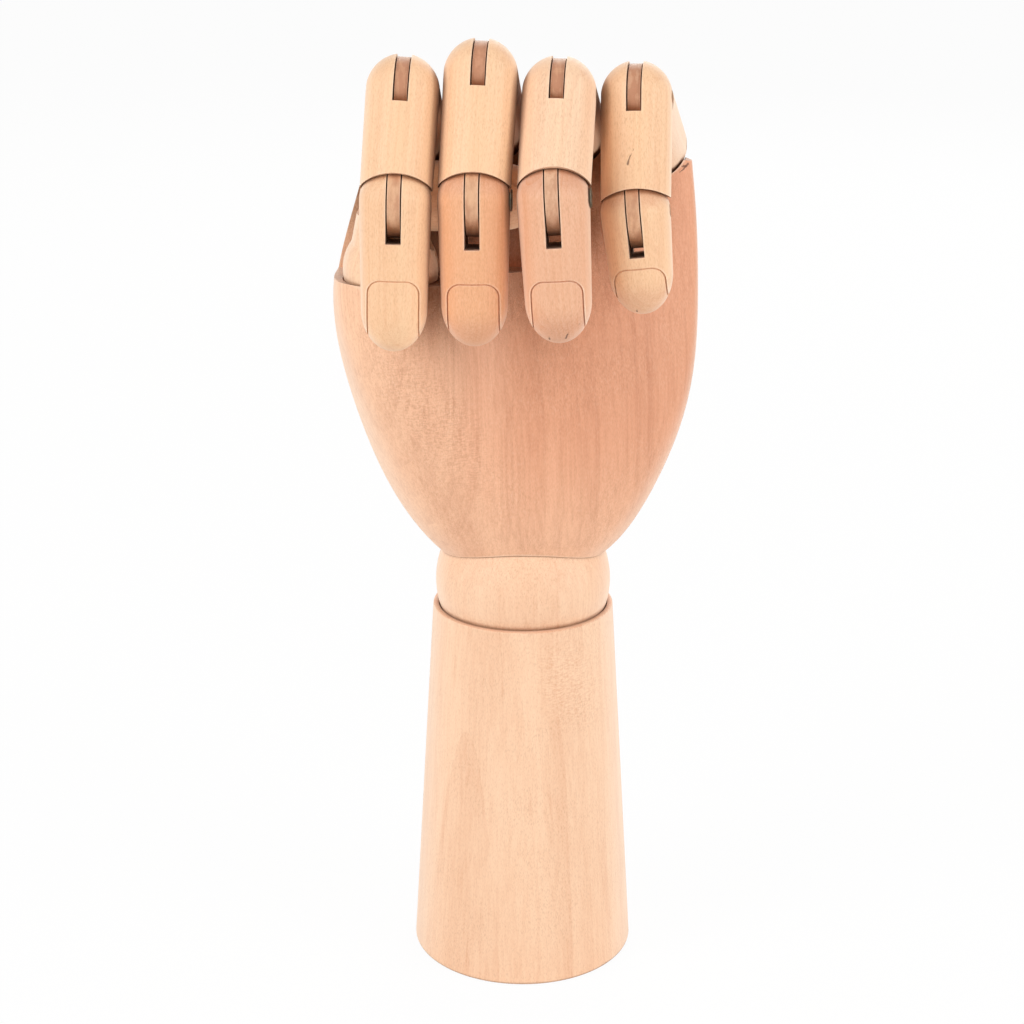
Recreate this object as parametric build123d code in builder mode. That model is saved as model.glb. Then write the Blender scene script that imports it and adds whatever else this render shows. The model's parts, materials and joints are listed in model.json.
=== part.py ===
"""Jointed wooden hand, standing on its forearm with the fingers folded over the thumb.

Millimetres, +Z up. The origin is the centre of the forearm's foot, the palm faces -Y
and the thumb is on the -X side. Every joint is shown as it is set in the folded hand.
"""

import os
from dataclasses import dataclass
from math import cos, radians, sin, sqrt, tan

from build123d import *

os.makedirs("parts", exist_ok=True)

# Forearm and wrist
forearm_height = 95.0
foot_radius = 28.6
rim_lip = 1.3
foot_edge = 0.8
rim_edge = 0.4
ball_radius = 22.1
ball_rise = 6.2
cup_gap = 0.3

# Wrist spring, its eye in the palm and its rod in the foot
spring_radius = 4.0
spring_wire = 1.4
loop_radius = 2.8
eye_radius = 3.0
eye_wire = 1.6
eye_rise = 30.0
eye_room = 1.3
eye_shank = 22.0
rod_radius = 1.5
rod_length = 18.0
foot_bore_radius = 10.0
foot_bore_depth = 12.0
spring_bore_radius = 5.2
ball_bore_waist = 5.2
ball_bore_mouth = 10.0
hook_gap = 0.1

# Palm block, with its heights above the forearm's rim
palm_top_middle = 116.8
palm_top_left = 113.2
palm_top_right = 112.0
palm_arc_left = -40.0
palm_arc_middle = -4.0
palm_arc_right = 41.0
ledge_drop = 29.0
thenar_turn = 218.0
thenar_spread = 43.0
outline_points = 24
pocket_gap = 0.8
pocket_reach = 20.0

# Finger joints
knuckle_radius = 8.8
knuckle_web = 1.4
knuckle_y = 2.0
index_knuckle_x = -26.8
index_fold_x = -26.75
socket_gap = 0.3
rim_rise = 4.8
rim_arc = 17.2
rim_back = 2.0
slot_width = 3.4
slot_gap = 0.3
tongue_recess = 0.7
tip_tongue_recess = 0.15
slot_depth = 4.0
neck_half = 5.0
tip_narrowing = 0.15

# Pins
pin_radius = 1.5
pin_seat = 0.02
pin_play = 0.06
pin_recess = 0.2
pin_head_radius = 2.4
pin_head_height = 0.4

# Fingertips and nails
tip_taper = 0.92
tip_round = 9.5
nail_width = 11.6
nail_corner = 3.2
nail_groove = 0.32
nail_depth = 0.35

# Thumb
thumb_ball_radius = 11.2
thumb_neck_radius = 9.5
thumb_radius = 8.3
thumb_x = -31.0
thumb_y = -20.0
thumb_rise = 2.2
thumb_gap = 1.55
thumb_tip_length = 34.0
thumb_lean = 4.8
thumb_forward = 6.3
thumb_bend = 86.0
thumb_nail_start = 18.0


@dataclass
class Level:
    """One section of the palm block: its height above the forearm, an ellipse and its mound."""

    rise: float
    left: float
    right: float
    front: float
    back: float
    mound: float


palm_levels = [
    Level(rise=13.0, left=-18.6, right=18.8, front=-15.6, back=15.6, mound=0.0),
    Level(rise=21.0, left=-26.4, right=26.8, front=-19.5, back=18.5, mound=0.5),
    Level(rise=33.0, left=-33.4, right=33.4, front=-21.5, back=19.5, mound=3.0),
    Level(rise=51.0, left=-39.4, right=39.7, front=-21.0, back=18.0, mound=10.5),
    Level(rise=73.0, left=-43.2, right=42.0, front=-17.5, back=15.5, mound=21.0),
    Level(rise=89.0, left=-41.2, right=41.6, front=-13.6, back=14.0, mound=28.0),
    Level(rise=103.0, left=-37.8, right=40.6, front=-11.0, back=13.0, mound=28.0),
    Level(rise=119.0, left=-34.8, right=39.2, front=-8.2, back=12.2, mound=26.0),
]


@dataclass
class Finger:
    """Sizes of one finger and the bends at which it is set, in degrees from straight."""

    name: str
    knuckle_rise: float
    gap: float
    radius: float
    proximal: float
    middle: float
    distal: float
    lean: float
    twist: float
    knuckle_bend: float
    middle_bend: float
    tip_bend: float
    tip_lean: float
    tip_slot: float
    nail_start: float
    headed: bool


fingers = [
    Finger("index", 117.0, 0.0, 8.15, 41.0, 24.5, 33.0, 2.7, 0.8, 67.0, 92.0, 16.0, 2.2, 8.6, 16.5, False),
    Finger("middle", 119.0, 0.75, 8.2, 41.0, 27.5, 32.2, 1.0, 1.1, 65.0, 95.0, 15.0, 2.6, 10.2, 17.5, True),
    Finger("ring", 118.0, 0.8, 8.2, 41.0, 24.0, 31.6, -0.8, 1.7, 69.0, 84.0, 22.0, 4.8, 10.0, 17.0, True),
    Finger("little", 115.5, 1.05, 7.95, 38.0, 25.6, 22.5, -2.6, 0.8, 65.0, 100.0, 10.0, 4.8, 9.2, 11.5, False),
]


@dataclass
class Hinge:
    """Tongue and slot joint: the next segment's round end turns in a socket."""

    radius: float
    tongue: float
    back_depth: float
    most_bend: float


def bone_plane(pivot, across, along):
    """Plane at a pivot: x across the joint, y to the segment's back, z along it."""
    return Plane(origin=pivot, x_dir=across, z_dir=along)


def face_plane(bone):
    """The segment seen square on: x across, y along it."""
    return Plane(origin=bone.origin, x_dir=bone.x_dir, z_dir=-bone.y_dir)


def flank_plane(bone):
    """The segment seen from its side: x to its back, y along it."""
    return Plane(origin=bone.origin, x_dir=bone.y_dir, z_dir=bone.x_dir)


def moved(bone, distance):
    """The same plane, further along the segment."""
    return Plane(bone.origin + bone.z_dir * distance, bone.x_dir, bone.z_dir)


def bent(bone, angle):
    """The same pivot, with the segment bent towards the palm by an angle."""
    along = bone.z_dir.rotate(Axis((0, 0, 0), bone.x_dir), angle)
    return Plane(bone.origin, bone.x_dir, along)


def turned(bone, angle):
    """The same pivot and direction, with the joint turned about the segment's length."""
    across = bone.x_dir.rotate(Axis((0, 0, 0), bone.z_dir), -angle)
    return Plane(bone.origin, across, bone.z_dir)


def leaned(bone, angle):
    """The same pivot, with the joint and what follows leaning sideways by an angle."""
    swing = Axis((0, 0, 0), bone.y_dir)
    return Plane(bone.origin, bone.x_dir.rotate(swing, angle), bone.z_dir.rotate(swing, angle))


def tongue_outline(bone, hinge):
    """Tongue of the segment before a pivot: a round end on a straight neck."""
    reach = hinge.radius + rim_rise
    with BuildSketch(flank_plane(bone)) as outline:
        Circle(hinge.tongue)
        with Locations((0, -reach / 2)):
            Rectangle(2 * neck_half, reach)
    return outline.sketch


def slot_outline(bone, hinge):
    """Slot of the segment after a pivot, open on its palm side for the bent tongue."""
    past = hinge.radius + rim_back
    turn = radians(max(hinge.most_bend - 90, 0))
    palm_depth = (neck_half + slot_gap) / cos(turn) + hinge.radius * tan(turn)
    with BuildSketch(flank_plane(bone)) as outline:
        Circle(hinge.tongue + slot_gap)
        with Locations((0, (hinge.back_depth - past) / 2)):
            Rectangle(2 * past, past + hinge.back_depth)
        with Locations((-past / 2, palm_depth / 2)):
            Rectangle(past, palm_depth)
    return outline.sketch


def rim_outline(bone):
    """Shallow arch of a segment's far rim, seen square on."""
    with BuildSketch(face_plane(bone)) as outline:
        with Locations((0, rim_arc - rim_rise)):
            Circle(rim_arc)
    return outline.sketch


def relief_outline(bone, hinge):
    """Section of the next segment at its largest bend, with its gap."""
    with BuildSketch(bent(bone, hinge.most_bend)) as outline:
        Circle(hinge.radius + socket_gap)
    return outline.sketch


def bore_outline(bone, radius):
    """Section of a pin hole across a pivot."""
    with BuildSketch(flank_plane(bone)) as outline:
        Circle(radius)
    return outline.sketch


def shaft_outline(bone, base_radius, neck_radius, end_radius, length):
    """Half section of a segment with a ball end, turned about its own length."""
    shoulder = sqrt(base_radius**2 - neck_radius**2)
    mid = (base_radius * sin(radians(45)), -base_radius * cos(radians(45)))
    if shoulder > 0:
        mid = (base_radius, 0)
    with BuildSketch(face_plane(bone)) as outline:
        with BuildLine():
            ThreePointArc((0, -base_radius), mid, (neck_radius, shoulder))
            Line((neck_radius, shoulder), (end_radius, length - rim_back))
            Line((end_radius, length - rim_back), (0, length - rim_back))
            Line((0, length - rim_back), (0, -base_radius))
        make_face()
    return outline.sketch


def tip_outline(bone, radius, length, inset):
    """Half section of a fingertip, or of its core when inset."""
    base = radius - inset
    end = radius * tip_taper - inset
    top = length - inset
    turn = length - tip_round
    half = base * sin(radians(45))
    with BuildSketch(face_plane(bone)) as outline:
        with BuildLine():
            ThreePointArc((0, -base), (half, -half), (base, 0))
            Line((base, 0), (end, turn))
            Bezier((end, turn), (end, (turn + top) / 2), (end * 0.6, top), (0, top))
            Line((0, top), (0, -base))
        make_face()
    return outline.sketch


def nail_outline(bone, start, length):
    """Band of the incised line round a nail, seen on the back of a fingertip."""
    past = length + nail_width
    view = Plane(origin=bone.origin, x_dir=-bone.x_dir, z_dir=bone.y_dir)
    with BuildSketch(view) as outline:
        with Locations((0, (start + past) / 2)):
            Rectangle(nail_width, past - start)
        fillet(outline.vertices().group_by(Axis.Y)[0], nail_corner)
        offset(amount=-nail_groove, mode=Mode.SUBTRACT)
    return outline.sketch


def palm_outline(level):
    """Closed outline of the palm at one level, swollen towards the thumb."""
    middle = Vector(level.left + level.right, level.front + level.back) / 2
    wide = (level.right - level.left) / 2
    deep = (level.back - level.front) / 2
    points = []
    for step in range(outline_points):
        turn = 360 * step / outline_points
        ray = Vector(cos(radians(turn)), sin(radians(turn)))
        reach = 1 / sqrt((ray.X / wide) ** 2 + (ray.Y / deep) ** 2)
        off = min(abs(turn - thenar_turn) / thenar_spread, 1)
        reach += level.mound * (1 + cos(radians(180 * off))) / 2
        points.append(middle + ray * reach)
    with BuildSketch(Plane.XY.offset(forearm_height + level.rise)) as outline:
        with BuildLine():
            Spline(*points, periodic=True)
        make_face()
    return outline.sketch


def joint_cuts(bone, hinge):
    """Slot and pin hole in the round end of a segment, cut in the part being built."""
    extrude(slot_outline(bone, hinge), slot_width / 2, both=True, mode=Mode.SUBTRACT)
    hole = bore_outline(bone, pin_radius + pin_seat)
    extrude(hole, 2 * hinge.radius, both=True, mode=Mode.SUBTRACT)


def joint_tongue(bone, hinge):
    """Tongue with its pin hole, added to the part being built."""
    tongue_half = slot_width / 2 - slot_gap
    extrude(tongue_outline(bone, hinge), tongue_half, both=True)
    hole = bore_outline(bone, pin_radius + pin_play)
    extrude(hole, slot_width, both=True, mode=Mode.SUBTRACT)


def joint_socket(bone, hinge):
    """Socket for the next segment's round end, cut in the part being built."""
    with Locations(bone.origin):
        Sphere(hinge.radius + socket_gap, mode=Mode.SUBTRACT)
    extrude(relief_outline(bone, hinge), 4 * hinge.radius, mode=Mode.SUBTRACT)


def write(part, label):
    """Name a finished piece and write it out."""
    part.label = label
    export_step(part, f"parts/{label}.step")


def make_segment(label, bone, end, near, far, length, neck_radius, end_radius):
    """Finger segment with a slotted round end and, at its end plane, a socket with a tongue."""
    outline = shaft_outline(bone, near.radius, neck_radius, end_radius, length)
    with BuildPart() as segment:
        revolve(outline, Axis(bone.origin, bone.z_dir))
        extrude(rim_outline(end), 2 * near.radius, both=True, mode=Mode.SUBTRACT)
        joint_socket(end, far)
        joint_tongue(end, far)
        joint_cuts(bone, near)
    write(segment.part, label)


def make_tip(label, bone, near, length, nail_start):
    """Fingertip with a slotted round end and an incised nail."""
    axis = Axis(bone.origin, bone.z_dir)
    with BuildPart() as groove:
        extrude(nail_outline(bone, nail_start, length), near.radius + nail_width)
        revolve(tip_outline(bone, near.radius, length, nail_depth), axis, mode=Mode.SUBTRACT)
    with BuildPart() as tip:
        revolve(tip_outline(bone, near.radius, length, 0), axis)
        add(groove.part, mode=Mode.SUBTRACT)
        joint_cuts(bone, near)
    write(tip.part, label)


def make_pin(label, bone, hinge, headed):
    """Steel pin across a joint, flush at both ends or with one low round head."""
    half = sqrt(hinge.radius**2 - pin_radius**2) - pin_recess
    with BuildPart() as pin:
        with BuildSketch(Plane(bone.origin, bone.y_dir, bone.x_dir).offset(-half)):
            Circle(pin_radius)
        extrude(amount=2 * half)
        if headed:
            seat = Plane(bone.origin, bone.y_dir, bone.x_dir).offset(hinge.radius)
            with BuildSketch(seat.offset(half - hinge.radius)):
                Circle(pin_radius)
            extrude(amount=hinge.radius - half)
            with BuildSketch(seat):
                Circle(pin_head_radius)
            extrude(amount=pin_head_height)
            rim = pin.edges().filter_by(GeomType.CIRCLE).sort_by(Axis(bone.origin, bone.x_dir))
            fillet(rim[-1], pin_head_height * 0.8)
    write(pin.part, label)


# Hinges shared by all fingers
knuckle_hinge = Hinge(knuckle_radius, knuckle_radius - tongue_recess, slot_depth, 75)


def middle_hinge(finger):
    """Second joint of a finger."""
    return Hinge(finger.radius, finger.radius - tongue_recess, slot_depth, 106)


def tip_hinge(finger):
    """Last joint of a finger, with a slot that shows on its back."""
    radius = finger.radius - tip_narrowing
    return Hinge(radius, radius - tip_tongue_recess, finger.tip_slot, 40)


def middle_pivot(finger, proximal):
    """Plane of a finger's second joint, turned a little as it was drilled."""
    return turned(moved(proximal, finger.proximal), finger.twist)


def tip_pivot(finger, middle):
    """Plane of a finger's last joint, leaning a little as it was drilled."""
    return leaned(moved(middle, finger.middle), finger.tip_lean)


def finger_planes():
    """For each finger, its straight plane at the knuckle and its three set planes."""
    knuckle_x = index_knuckle_x
    fold_x = index_fold_x
    planes = []
    before = None
    for finger in fingers:
        if before:
            knuckle_x += 2 * knuckle_radius + knuckle_web
            fold_x += before.radius + finger.gap + finger.radius
        before = finger
        forward = finger.proximal * sin(radians(finger.knuckle_bend))
        rise = finger.proximal * cos(radians(finger.knuckle_bend))
        side = tan(radians(finger.lean))
        yaw = (knuckle_x + side * rise - fold_x) / forward
        across = Vector(1, -yaw, -side).normalized()
        straight = bone_plane(
            Vector(knuckle_x, knuckle_y, forearm_height + finger.knuckle_rise),
            across,
            across.cross(Vector(0, 1, 0)).normalized(),
        )
        proximal = bent(straight, finger.knuckle_bend)
        middle = bent(middle_pivot(finger, proximal), finger.middle_bend)
        distal = bent(tip_pivot(finger, middle), finger.tip_bend)
        planes.append((finger, straight, proximal, middle, distal))
    return planes


# Thumb planes and hinges: it lies under the index, as high as the folded finger leaves room
index = fingers[0]
thenar_ledge = index.knuckle_rise - ledge_drop
under_index = (knuckle_y - thumb_y) / tan(radians(index.knuckle_bend))
under_index -= index.radius / sin(radians(index.knuckle_bend))
thumb_room = ledge_drop + under_index - thumb_radius - thumb_gap - thumb_rise
thumb_pivot = Vector(thumb_x, thumb_y, forearm_height + thenar_ledge + thumb_rise)
thumb_up = Vector(tan(radians(thumb_lean)), -tan(radians(thumb_forward)), 1).normalized()
thumb_length = thumb_room / thumb_up.Z
thumb_across = Vector(0, 1, tan(radians(thumb_forward))).normalized()
thumb_bone = bone_plane(thumb_pivot, thumb_across, thumb_up)
thumb_tip_bone = bent(moved(thumb_bone, thumb_length), thumb_bend)
thumb_base_hinge = Hinge(thumb_ball_radius, thumb_radius - tongue_recess, 0, 40)
thumb_tip_hinge = Hinge(thumb_radius, thumb_radius - tongue_recess, 0, 108)

folded = finger_planes()
ball_centre = forearm_height + ball_rise
eye_height = ball_centre + eye_rise
eye_top = eye_height + eye_radius + eye_wire / 2
cup_radius = ball_radius + cup_gap
rim_radius = sqrt(cup_radius**2 - ball_rise**2) + rim_lip

# Forearm: turned taper with the ball's cup, the spring's bore and the foot's recess
with BuildPart() as forearm:
    with BuildSketch(Plane.XZ):
        Polygon(
            (0, 0),
            (foot_radius, 0),
            (rim_radius, forearm_height),
            (0, forearm_height),
            align=None,
        )
    revolve(axis=Axis.Z)
    with Locations((0, 0, ball_centre)):
        Sphere(cup_radius, mode=Mode.SUBTRACT)
    with BuildSketch(Plane.XY):
        Circle(spring_bore_radius)
    extrude(amount=forearm_height, mode=Mode.SUBTRACT)
    with BuildSketch(Plane.XY):
        Circle(foot_bore_radius)
    extrude(amount=foot_bore_depth, mode=Mode.SUBTRACT)
    rounds = forearm.edges().filter_by(GeomType.CIRCLE).sort_by(SortBy.RADIUS)
    fillet(rounds[-1], foot_edge)
    rims = forearm.edges().filter_by(GeomType.CIRCLE).group_by(Axis.Z)[-1]
    fillet(rims.sort_by(SortBy.RADIUS)[-1], rim_edge)
write(forearm.part, "forearm")

# Wrist ball with a bore that flares both ways for the bending spring
with BuildPart() as wrist_ball:
    with Locations((0, 0, ball_centre)):
        Sphere(ball_radius)
    with BuildSketch(Plane.XZ.shift_origin((0, 0, ball_centre))):
        Polygon(
            (0, -ball_radius),
            (ball_bore_mouth, -ball_radius),
            (ball_bore_waist, 0),
            (ball_bore_mouth, ball_radius),
            (0, ball_radius),
            align=None,
        )
    revolve(axis=Axis.Z, mode=Mode.SUBTRACT)
write(wrist_ball.part, "wrist_ball")

# Palm: lofted block with the thumb mound, sockets with tongues and the ball's cup
with BuildPart() as palm:
    loft([palm_outline(level) for level in palm_levels])
    with BuildSketch(Plane.XZ.shift_origin((0, 0, forearm_height))):
        with BuildLine():
            ThreePointArc(
                (palm_arc_left, palm_top_left),
                (palm_arc_middle, palm_top_middle),
                (palm_arc_right, palm_top_right),
            )
            Line((palm_arc_right, palm_top_right), (2 * palm_arc_right, palm_top_right))
            Line((2 * palm_arc_right, palm_top_right), (2 * palm_arc_right, 2 * palm_top_middle))
            Line((2 * palm_arc_right, 2 * palm_top_middle), (2 * palm_arc_left, 2 * palm_top_middle))
            Line((2 * palm_arc_left, 2 * palm_top_middle), (2 * palm_arc_left, palm_top_left))
            Line((2 * palm_arc_left, palm_top_left), (palm_arc_left, palm_top_left))
        make_face()
    extrude(amount=2 * palm_arc_right, both=True, mode=Mode.SUBTRACT)
    pocket_wall = thumb_y + thumb_ball_radius + pocket_gap
    pocket_side = thumb_x + thumb_ball_radius + pocket_reach
    with BuildSketch(Plane.XY.offset(forearm_height + thenar_ledge)):
        with Locations((pocket_side, pocket_wall)):
            Rectangle(palm_arc_right * 2, palm_arc_right * 2, align=(Align.MAX, Align.MAX))
    extrude(amount=2 * (palm_top_middle - thenar_ledge), mode=Mode.SUBTRACT)
    with Locations(thumb_pivot):
        Sphere(thumb_ball_radius + socket_gap, mode=Mode.SUBTRACT)
    joint_tongue(thumb_bone, thumb_base_hinge)
    for finger, straight, proximal, middle, distal in folded:
        joint_socket(straight, knuckle_hinge)
        joint_tongue(straight, knuckle_hinge)
    with Locations((0, 0, ball_centre)):
        Sphere(cup_radius, mode=Mode.SUBTRACT)
    with BuildSketch(Plane.XY.offset(ball_centre)):
        Circle(spring_bore_radius)
    extrude(amount=eye_top + eye_room - ball_centre, mode=Mode.SUBTRACT)
    with BuildSketch(Plane.XY.offset(ball_centre)):
        Circle(eye_wire)
    extrude(amount=eye_height + eye_radius + eye_shank - ball_centre, mode=Mode.SUBTRACT)
write(palm.part, "palm")

# Four fingers
for finger, straight, proximal, middle, distal in folded:
    second = middle_hinge(finger)
    last = tip_hinge(finger)
    name = finger.name
    make_segment(
        f"{name}_proximal", proximal, middle_pivot(finger, proximal), knuckle_hinge, second,
        finger.proximal, knuckle_radius, finger.radius,
    )
    make_segment(
        f"{name}_middle", middle, tip_pivot(finger, middle), second, last,
        finger.middle, finger.radius, last.radius,
    )
    make_tip(f"{name}_distal", distal, last, finger.distal, finger.nail_start)
    make_pin(f"{name}_knuckle_pin", proximal, knuckle_hinge, headed=False)
    make_pin(f"{name}_middle_pin", middle, second, headed=False)
    make_pin(f"{name}_tip_pin", distal, last, headed=finger.headed)

# Thumb
make_segment(
    "thumb_base", thumb_bone, moved(thumb_bone, thumb_length), thumb_base_hinge, thumb_tip_hinge,
    thumb_length, thumb_neck_radius, thumb_radius,
)
make_tip("thumb_tip", thumb_tip_bone, thumb_tip_hinge, thumb_tip_length, thumb_nail_start)
make_pin("thumb_base_pin", thumb_bone, thumb_base_hinge, headed=False)
make_pin("thumb_tip_pin", thumb_tip_bone, thumb_tip_hinge, headed=False)

# Cross rod in the foot, pulled up against the step of its bore
rod_height = foot_bore_depth - rod_radius - hook_gap
with BuildPart() as wrist_rod:
    with Locations((0, 0, rod_height)):
        Cylinder(rod_radius, rod_length, rotation=(0, 90, 0))
write(wrist_rod.part, "wrist_rod")

# Wrist spring: close coil drawn as a sleeve, with a loop at each end
upper_loop = eye_height - eye_radius + eye_wire / 2 + spring_wire / 2 + hook_gap - loop_radius
lower_loop = rod_height - rod_radius - spring_wire / 2 - hook_gap + loop_radius
with BuildPart() as wrist_spring:
    with BuildSketch(Plane.XY.offset(lower_loop + loop_radius - spring_wire / 2)):
        Circle(spring_radius)
    extrude(amount=upper_loop - lower_loop - 2 * loop_radius + spring_wire)
    with BuildSketch(Plane.XY.offset(lower_loop + loop_radius + spring_wire / 2)):
        Circle(spring_radius - spring_wire)
    extrude(amount=upper_loop - lower_loop - 2 * loop_radius - spring_wire, mode=Mode.SUBTRACT)
    with Locations(Plane((0, 0, upper_loop), x_dir=(1, 0, 0), z_dir=(0, -1, 0))):
        Torus(loop_radius, spring_wire / 2)
    with Locations(Plane((0, 0, lower_loop), x_dir=(0, 1, 0), z_dir=(1, 0, 0))):
        Torus(loop_radius, spring_wire / 2)
write(wrist_spring.part, "wrist_spring")

# Eye screw in the palm
with BuildPart() as wrist_eye:
    with Locations(Plane((0, 0, eye_height), x_dir=(0, 1, 0), z_dir=(1, 0, 0))):
        Torus(eye_radius, eye_wire / 2)
    with BuildSketch(Plane.XY.offset(eye_height + eye_radius)):
        Circle(eye_wire - pin_seat)
    extrude(amount=eye_shank - 1)
write(wrist_eye.part, "wrist_eye")
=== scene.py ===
"""Looks, stage and camera for a jointed wooden hand that stands on its forearm."""

import json
import math

import bmesh
import bpy
from bpy.props import FloatProperty, FloatVectorProperty, IntProperty, PointerProperty
from mathutils import Matrix, Vector


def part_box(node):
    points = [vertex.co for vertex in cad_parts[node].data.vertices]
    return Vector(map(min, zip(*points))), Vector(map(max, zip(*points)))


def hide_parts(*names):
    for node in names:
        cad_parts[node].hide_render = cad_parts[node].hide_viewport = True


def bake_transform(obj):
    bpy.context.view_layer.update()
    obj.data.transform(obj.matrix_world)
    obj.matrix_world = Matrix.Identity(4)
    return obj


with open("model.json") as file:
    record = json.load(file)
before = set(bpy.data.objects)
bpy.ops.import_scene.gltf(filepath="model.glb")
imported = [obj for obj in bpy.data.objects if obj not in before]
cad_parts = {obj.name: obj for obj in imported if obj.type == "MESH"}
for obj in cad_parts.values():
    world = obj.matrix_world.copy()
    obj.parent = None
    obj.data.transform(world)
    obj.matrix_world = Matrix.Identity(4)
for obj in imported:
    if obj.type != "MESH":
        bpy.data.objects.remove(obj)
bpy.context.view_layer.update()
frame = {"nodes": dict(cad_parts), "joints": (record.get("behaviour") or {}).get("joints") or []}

bl_info = {
    "name": "Wooden Hand",
    "version": (1, 0, 0),
    "blender": (4, 5, 0),
    "location": "View3D > Sidebar > Wooden Hand",
    "description": "Finishes a jointed wooden hand and sets its stage",
    "category": "Object",
}

# Width of the photograph, in pixels
IMAGE_SIZE = 1024
MM = 0.001
PORE_BROWN = (0.42, 0.17, 0.07, 1.0)
RAY_PALE = (1.0, 0.86, 0.68, 1.0)
WHITE = (1.0, 1.0, 1.0, 1.0)
# Shares of a surface's sky that another piece hides where the dirt and painted shade of the seams,
# and the painted shade of the fingers in the closed hand's hollow, start and where they are full
SEAM_SHADE_LIMITS = (0.1, 0.52)
FIST_SHADE_LIMITS = (0.2, 0.45)
# Depths in a slot at which its brown and the painted shade that darkens it with depth start and are
# full
CUT_SHADE_LIMITS = (0.9 * MM, 2.4 * MM)
# Share of dirt and painted shade at which the sheen is gone
SHEEN_END = 0.8
# Steel: how dark its tarnish is, how much rougher it is there, and the height of its scratches
TARNISH = 0.55
TARNISH_ROUGH = 0.2
SCRATCH = 0.01 * MM
# How dark a split is, and how far it falls in heights of the grain
SPLIT_DEPTH = 0.75
SPLIT_FALL = 4.0
# Painted sheen, a pale tint on faces seen at a glancing angle: how glancing a view has to be for it
# to start and to be full, and the slopes of an underside over which it fades, with the share that
# is left
PAINTED_SHEEN_GLANCE = (0.34, 0.92)
PAINTED_SHEEN_UNDER = (-0.8, -0.3, 0.55)
# Curly patches: place, spread, slope and strength
CURLS = {
    "forearm": ((0.012, -0.024, 0.08), (0.013, 0.03, 0.018), 0.25, 0.22),
    "wrist_ball": ((0.004, -0.02, 0.094), (0.009, 0.03, 0.007), 0.0, 0.1),
    "palm": ((-0.02, -0.03, 0.15), (0.014, 0.05, 0.034), 0.5, 0.17),
}
# Grain of a piece: place of the pith, end grain (strength and start) and rings (step and strength)
GRAIN = {
    "forearm": ((0.052, 0.071, 0.0), (0.35, 0.5), (3.1, 1.5)),
    "wrist_ball": ((0.061, 0.048, 0.3), (0.0, 0.5), (2.4, 1.2)),
    "palm": ((0.083, 0.064, 0.7), (0.2, 0.5), (1.7, 1.0)),
    "index_distal": ((0.03, 0.022, 0.74), (0.15, 0.5), (1.0, 1.0)),
    "middle_distal": ((0.004, -0.006, 0.85), (0.5, 0.06), (0.5, 2.6)),
    "ring_distal": ((0.003, -0.004, 0.96), (0.6, 0.06), (0.5, 2.8)),
    "little_distal": ((0.012, 0.016, 1.07), (0.4, 0.06), (0.7, 1.5)),
    "thumb_base": ((0.04, 0.025, 0.2), (0.12, 0.5), (1.0, 1.0)),
    "thumb_tip": ((0.03, 0.031, 0.5), (0.5, 0.5), (1.0, 1.0)),
}
# The same for the other segments, whose pith moves with each finger and each segment
SEGMENT_PITH = (0.021, 0.034, 0.0)
FINGER_STEP = (0.009, 0.0, 0.11)
SEGMENT_STEP = (0.0, -0.006, 0.37)
SEGMENT_END = (0.12, 0.5)
SEGMENT_RINGS = (1.0, 1.0)
# Heartwood of the palm: how far its edge wavers, where it starts and is full across the palm, and
# where it starts and is full up the palm, with its share below; the rise up the palm also paints
# the shade under the fingers
HEART_WAVER = 0.034
HEART_ACROSS = (-0.028, 0.034)
HEART_AND_SHADE_UP = (0.104, 0.15, 0.3)
# How far the grain of each block is turned, in degrees
FOREARM_TILT = 1.2
BALL_TURN = 8
PALM_TILT = -1.5
# Parts of a segment's radius: from its middle line's end to its tip, and round its tongue's pin
CORE_INSET = 1.1
TONGUE_REACH = 1.06
# How strongly the tongues of a proximal segment, a middle segment and the thumb are browned by
# rubbing and by painted shade of the slot walls
RUB_AND_SHADE_SHARES = (1.8, 1.1)
THUMB_RUB_AND_SHADE = 1.0
# Where the wire of the spring's end loop starts, in degrees
LOOP_START = 30
# Width of the camera's sensor, in millimetres
SENSOR_WIDTH = 36.0
FINGERS = ("index", "middle", "ring", "little")
# Dry splits and scars, each from its open end to its fine end and with its width, in millimetres
SPLITS = {
    "ring_distal": (
        ((5.4, -52.6, 176.2), (5.0, -55.7, 181.6), 0.34),
        ((11.9, -53.8, 180.2), (9.2, -54.2, 177.6), 0.3),
        ((9.0, -53.5, 176.6), (9.7, -55.0, 179.4), 0.3),
    ),
    "little_distal": (((25.1, -43.4, 180.3), (24.9, -45.4, 182.6), 0.28),),
    "little_middle": (((22.4, -43.3, 213.3), (23.7, -42.8, 216.5), 0.3),),
    "palm": (
        ((39.0, -2.4, 206.6), (37.0, -3.9, 204.9), 0.5),
        ((38.4, -2.8, 206.2), (36.2, -4.4, 206.4), 0.4),
    ),
}
JOINT_PLACE = {j["name"]: Vector(j["pos_m"]) for j in frame["joints"]}
JOINT_AXIS = {j["name"]: Vector(j["axis"]) for j in frame["joints"]}


def linear(code):
    """Linear colour of a six-digit screen colour."""
    out = []
    for shift in (16, 8, 0):
        c = ((code >> shift) & 255) / 255
        out.append(c / 12.92 if c <= 0.04045 else ((c + 0.055) / 1.055) ** 2.4)
    return tuple(out)


def colour(label, code, what):
    """Colour property with a default from a screen colour."""
    return FloatVectorProperty(
        name=label, description=what, default=linear(code), size=3, min=0, max=1, subtype="COLOR"
    )


def length(label, metres, what):
    """Length property in metres."""
    return FloatProperty(name=label, description=what, default=metres, unit="LENGTH", precision=5)


def point(label, place, what):
    """Place property in metres."""
    return FloatVectorProperty(
        name=label, description=what, default=place, size=3, subtype="TRANSLATION", unit="LENGTH"
    )


def number(label, value, what):
    """Plain number property."""
    return FloatProperty(name=label, description=what, default=value, precision=3)


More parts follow.
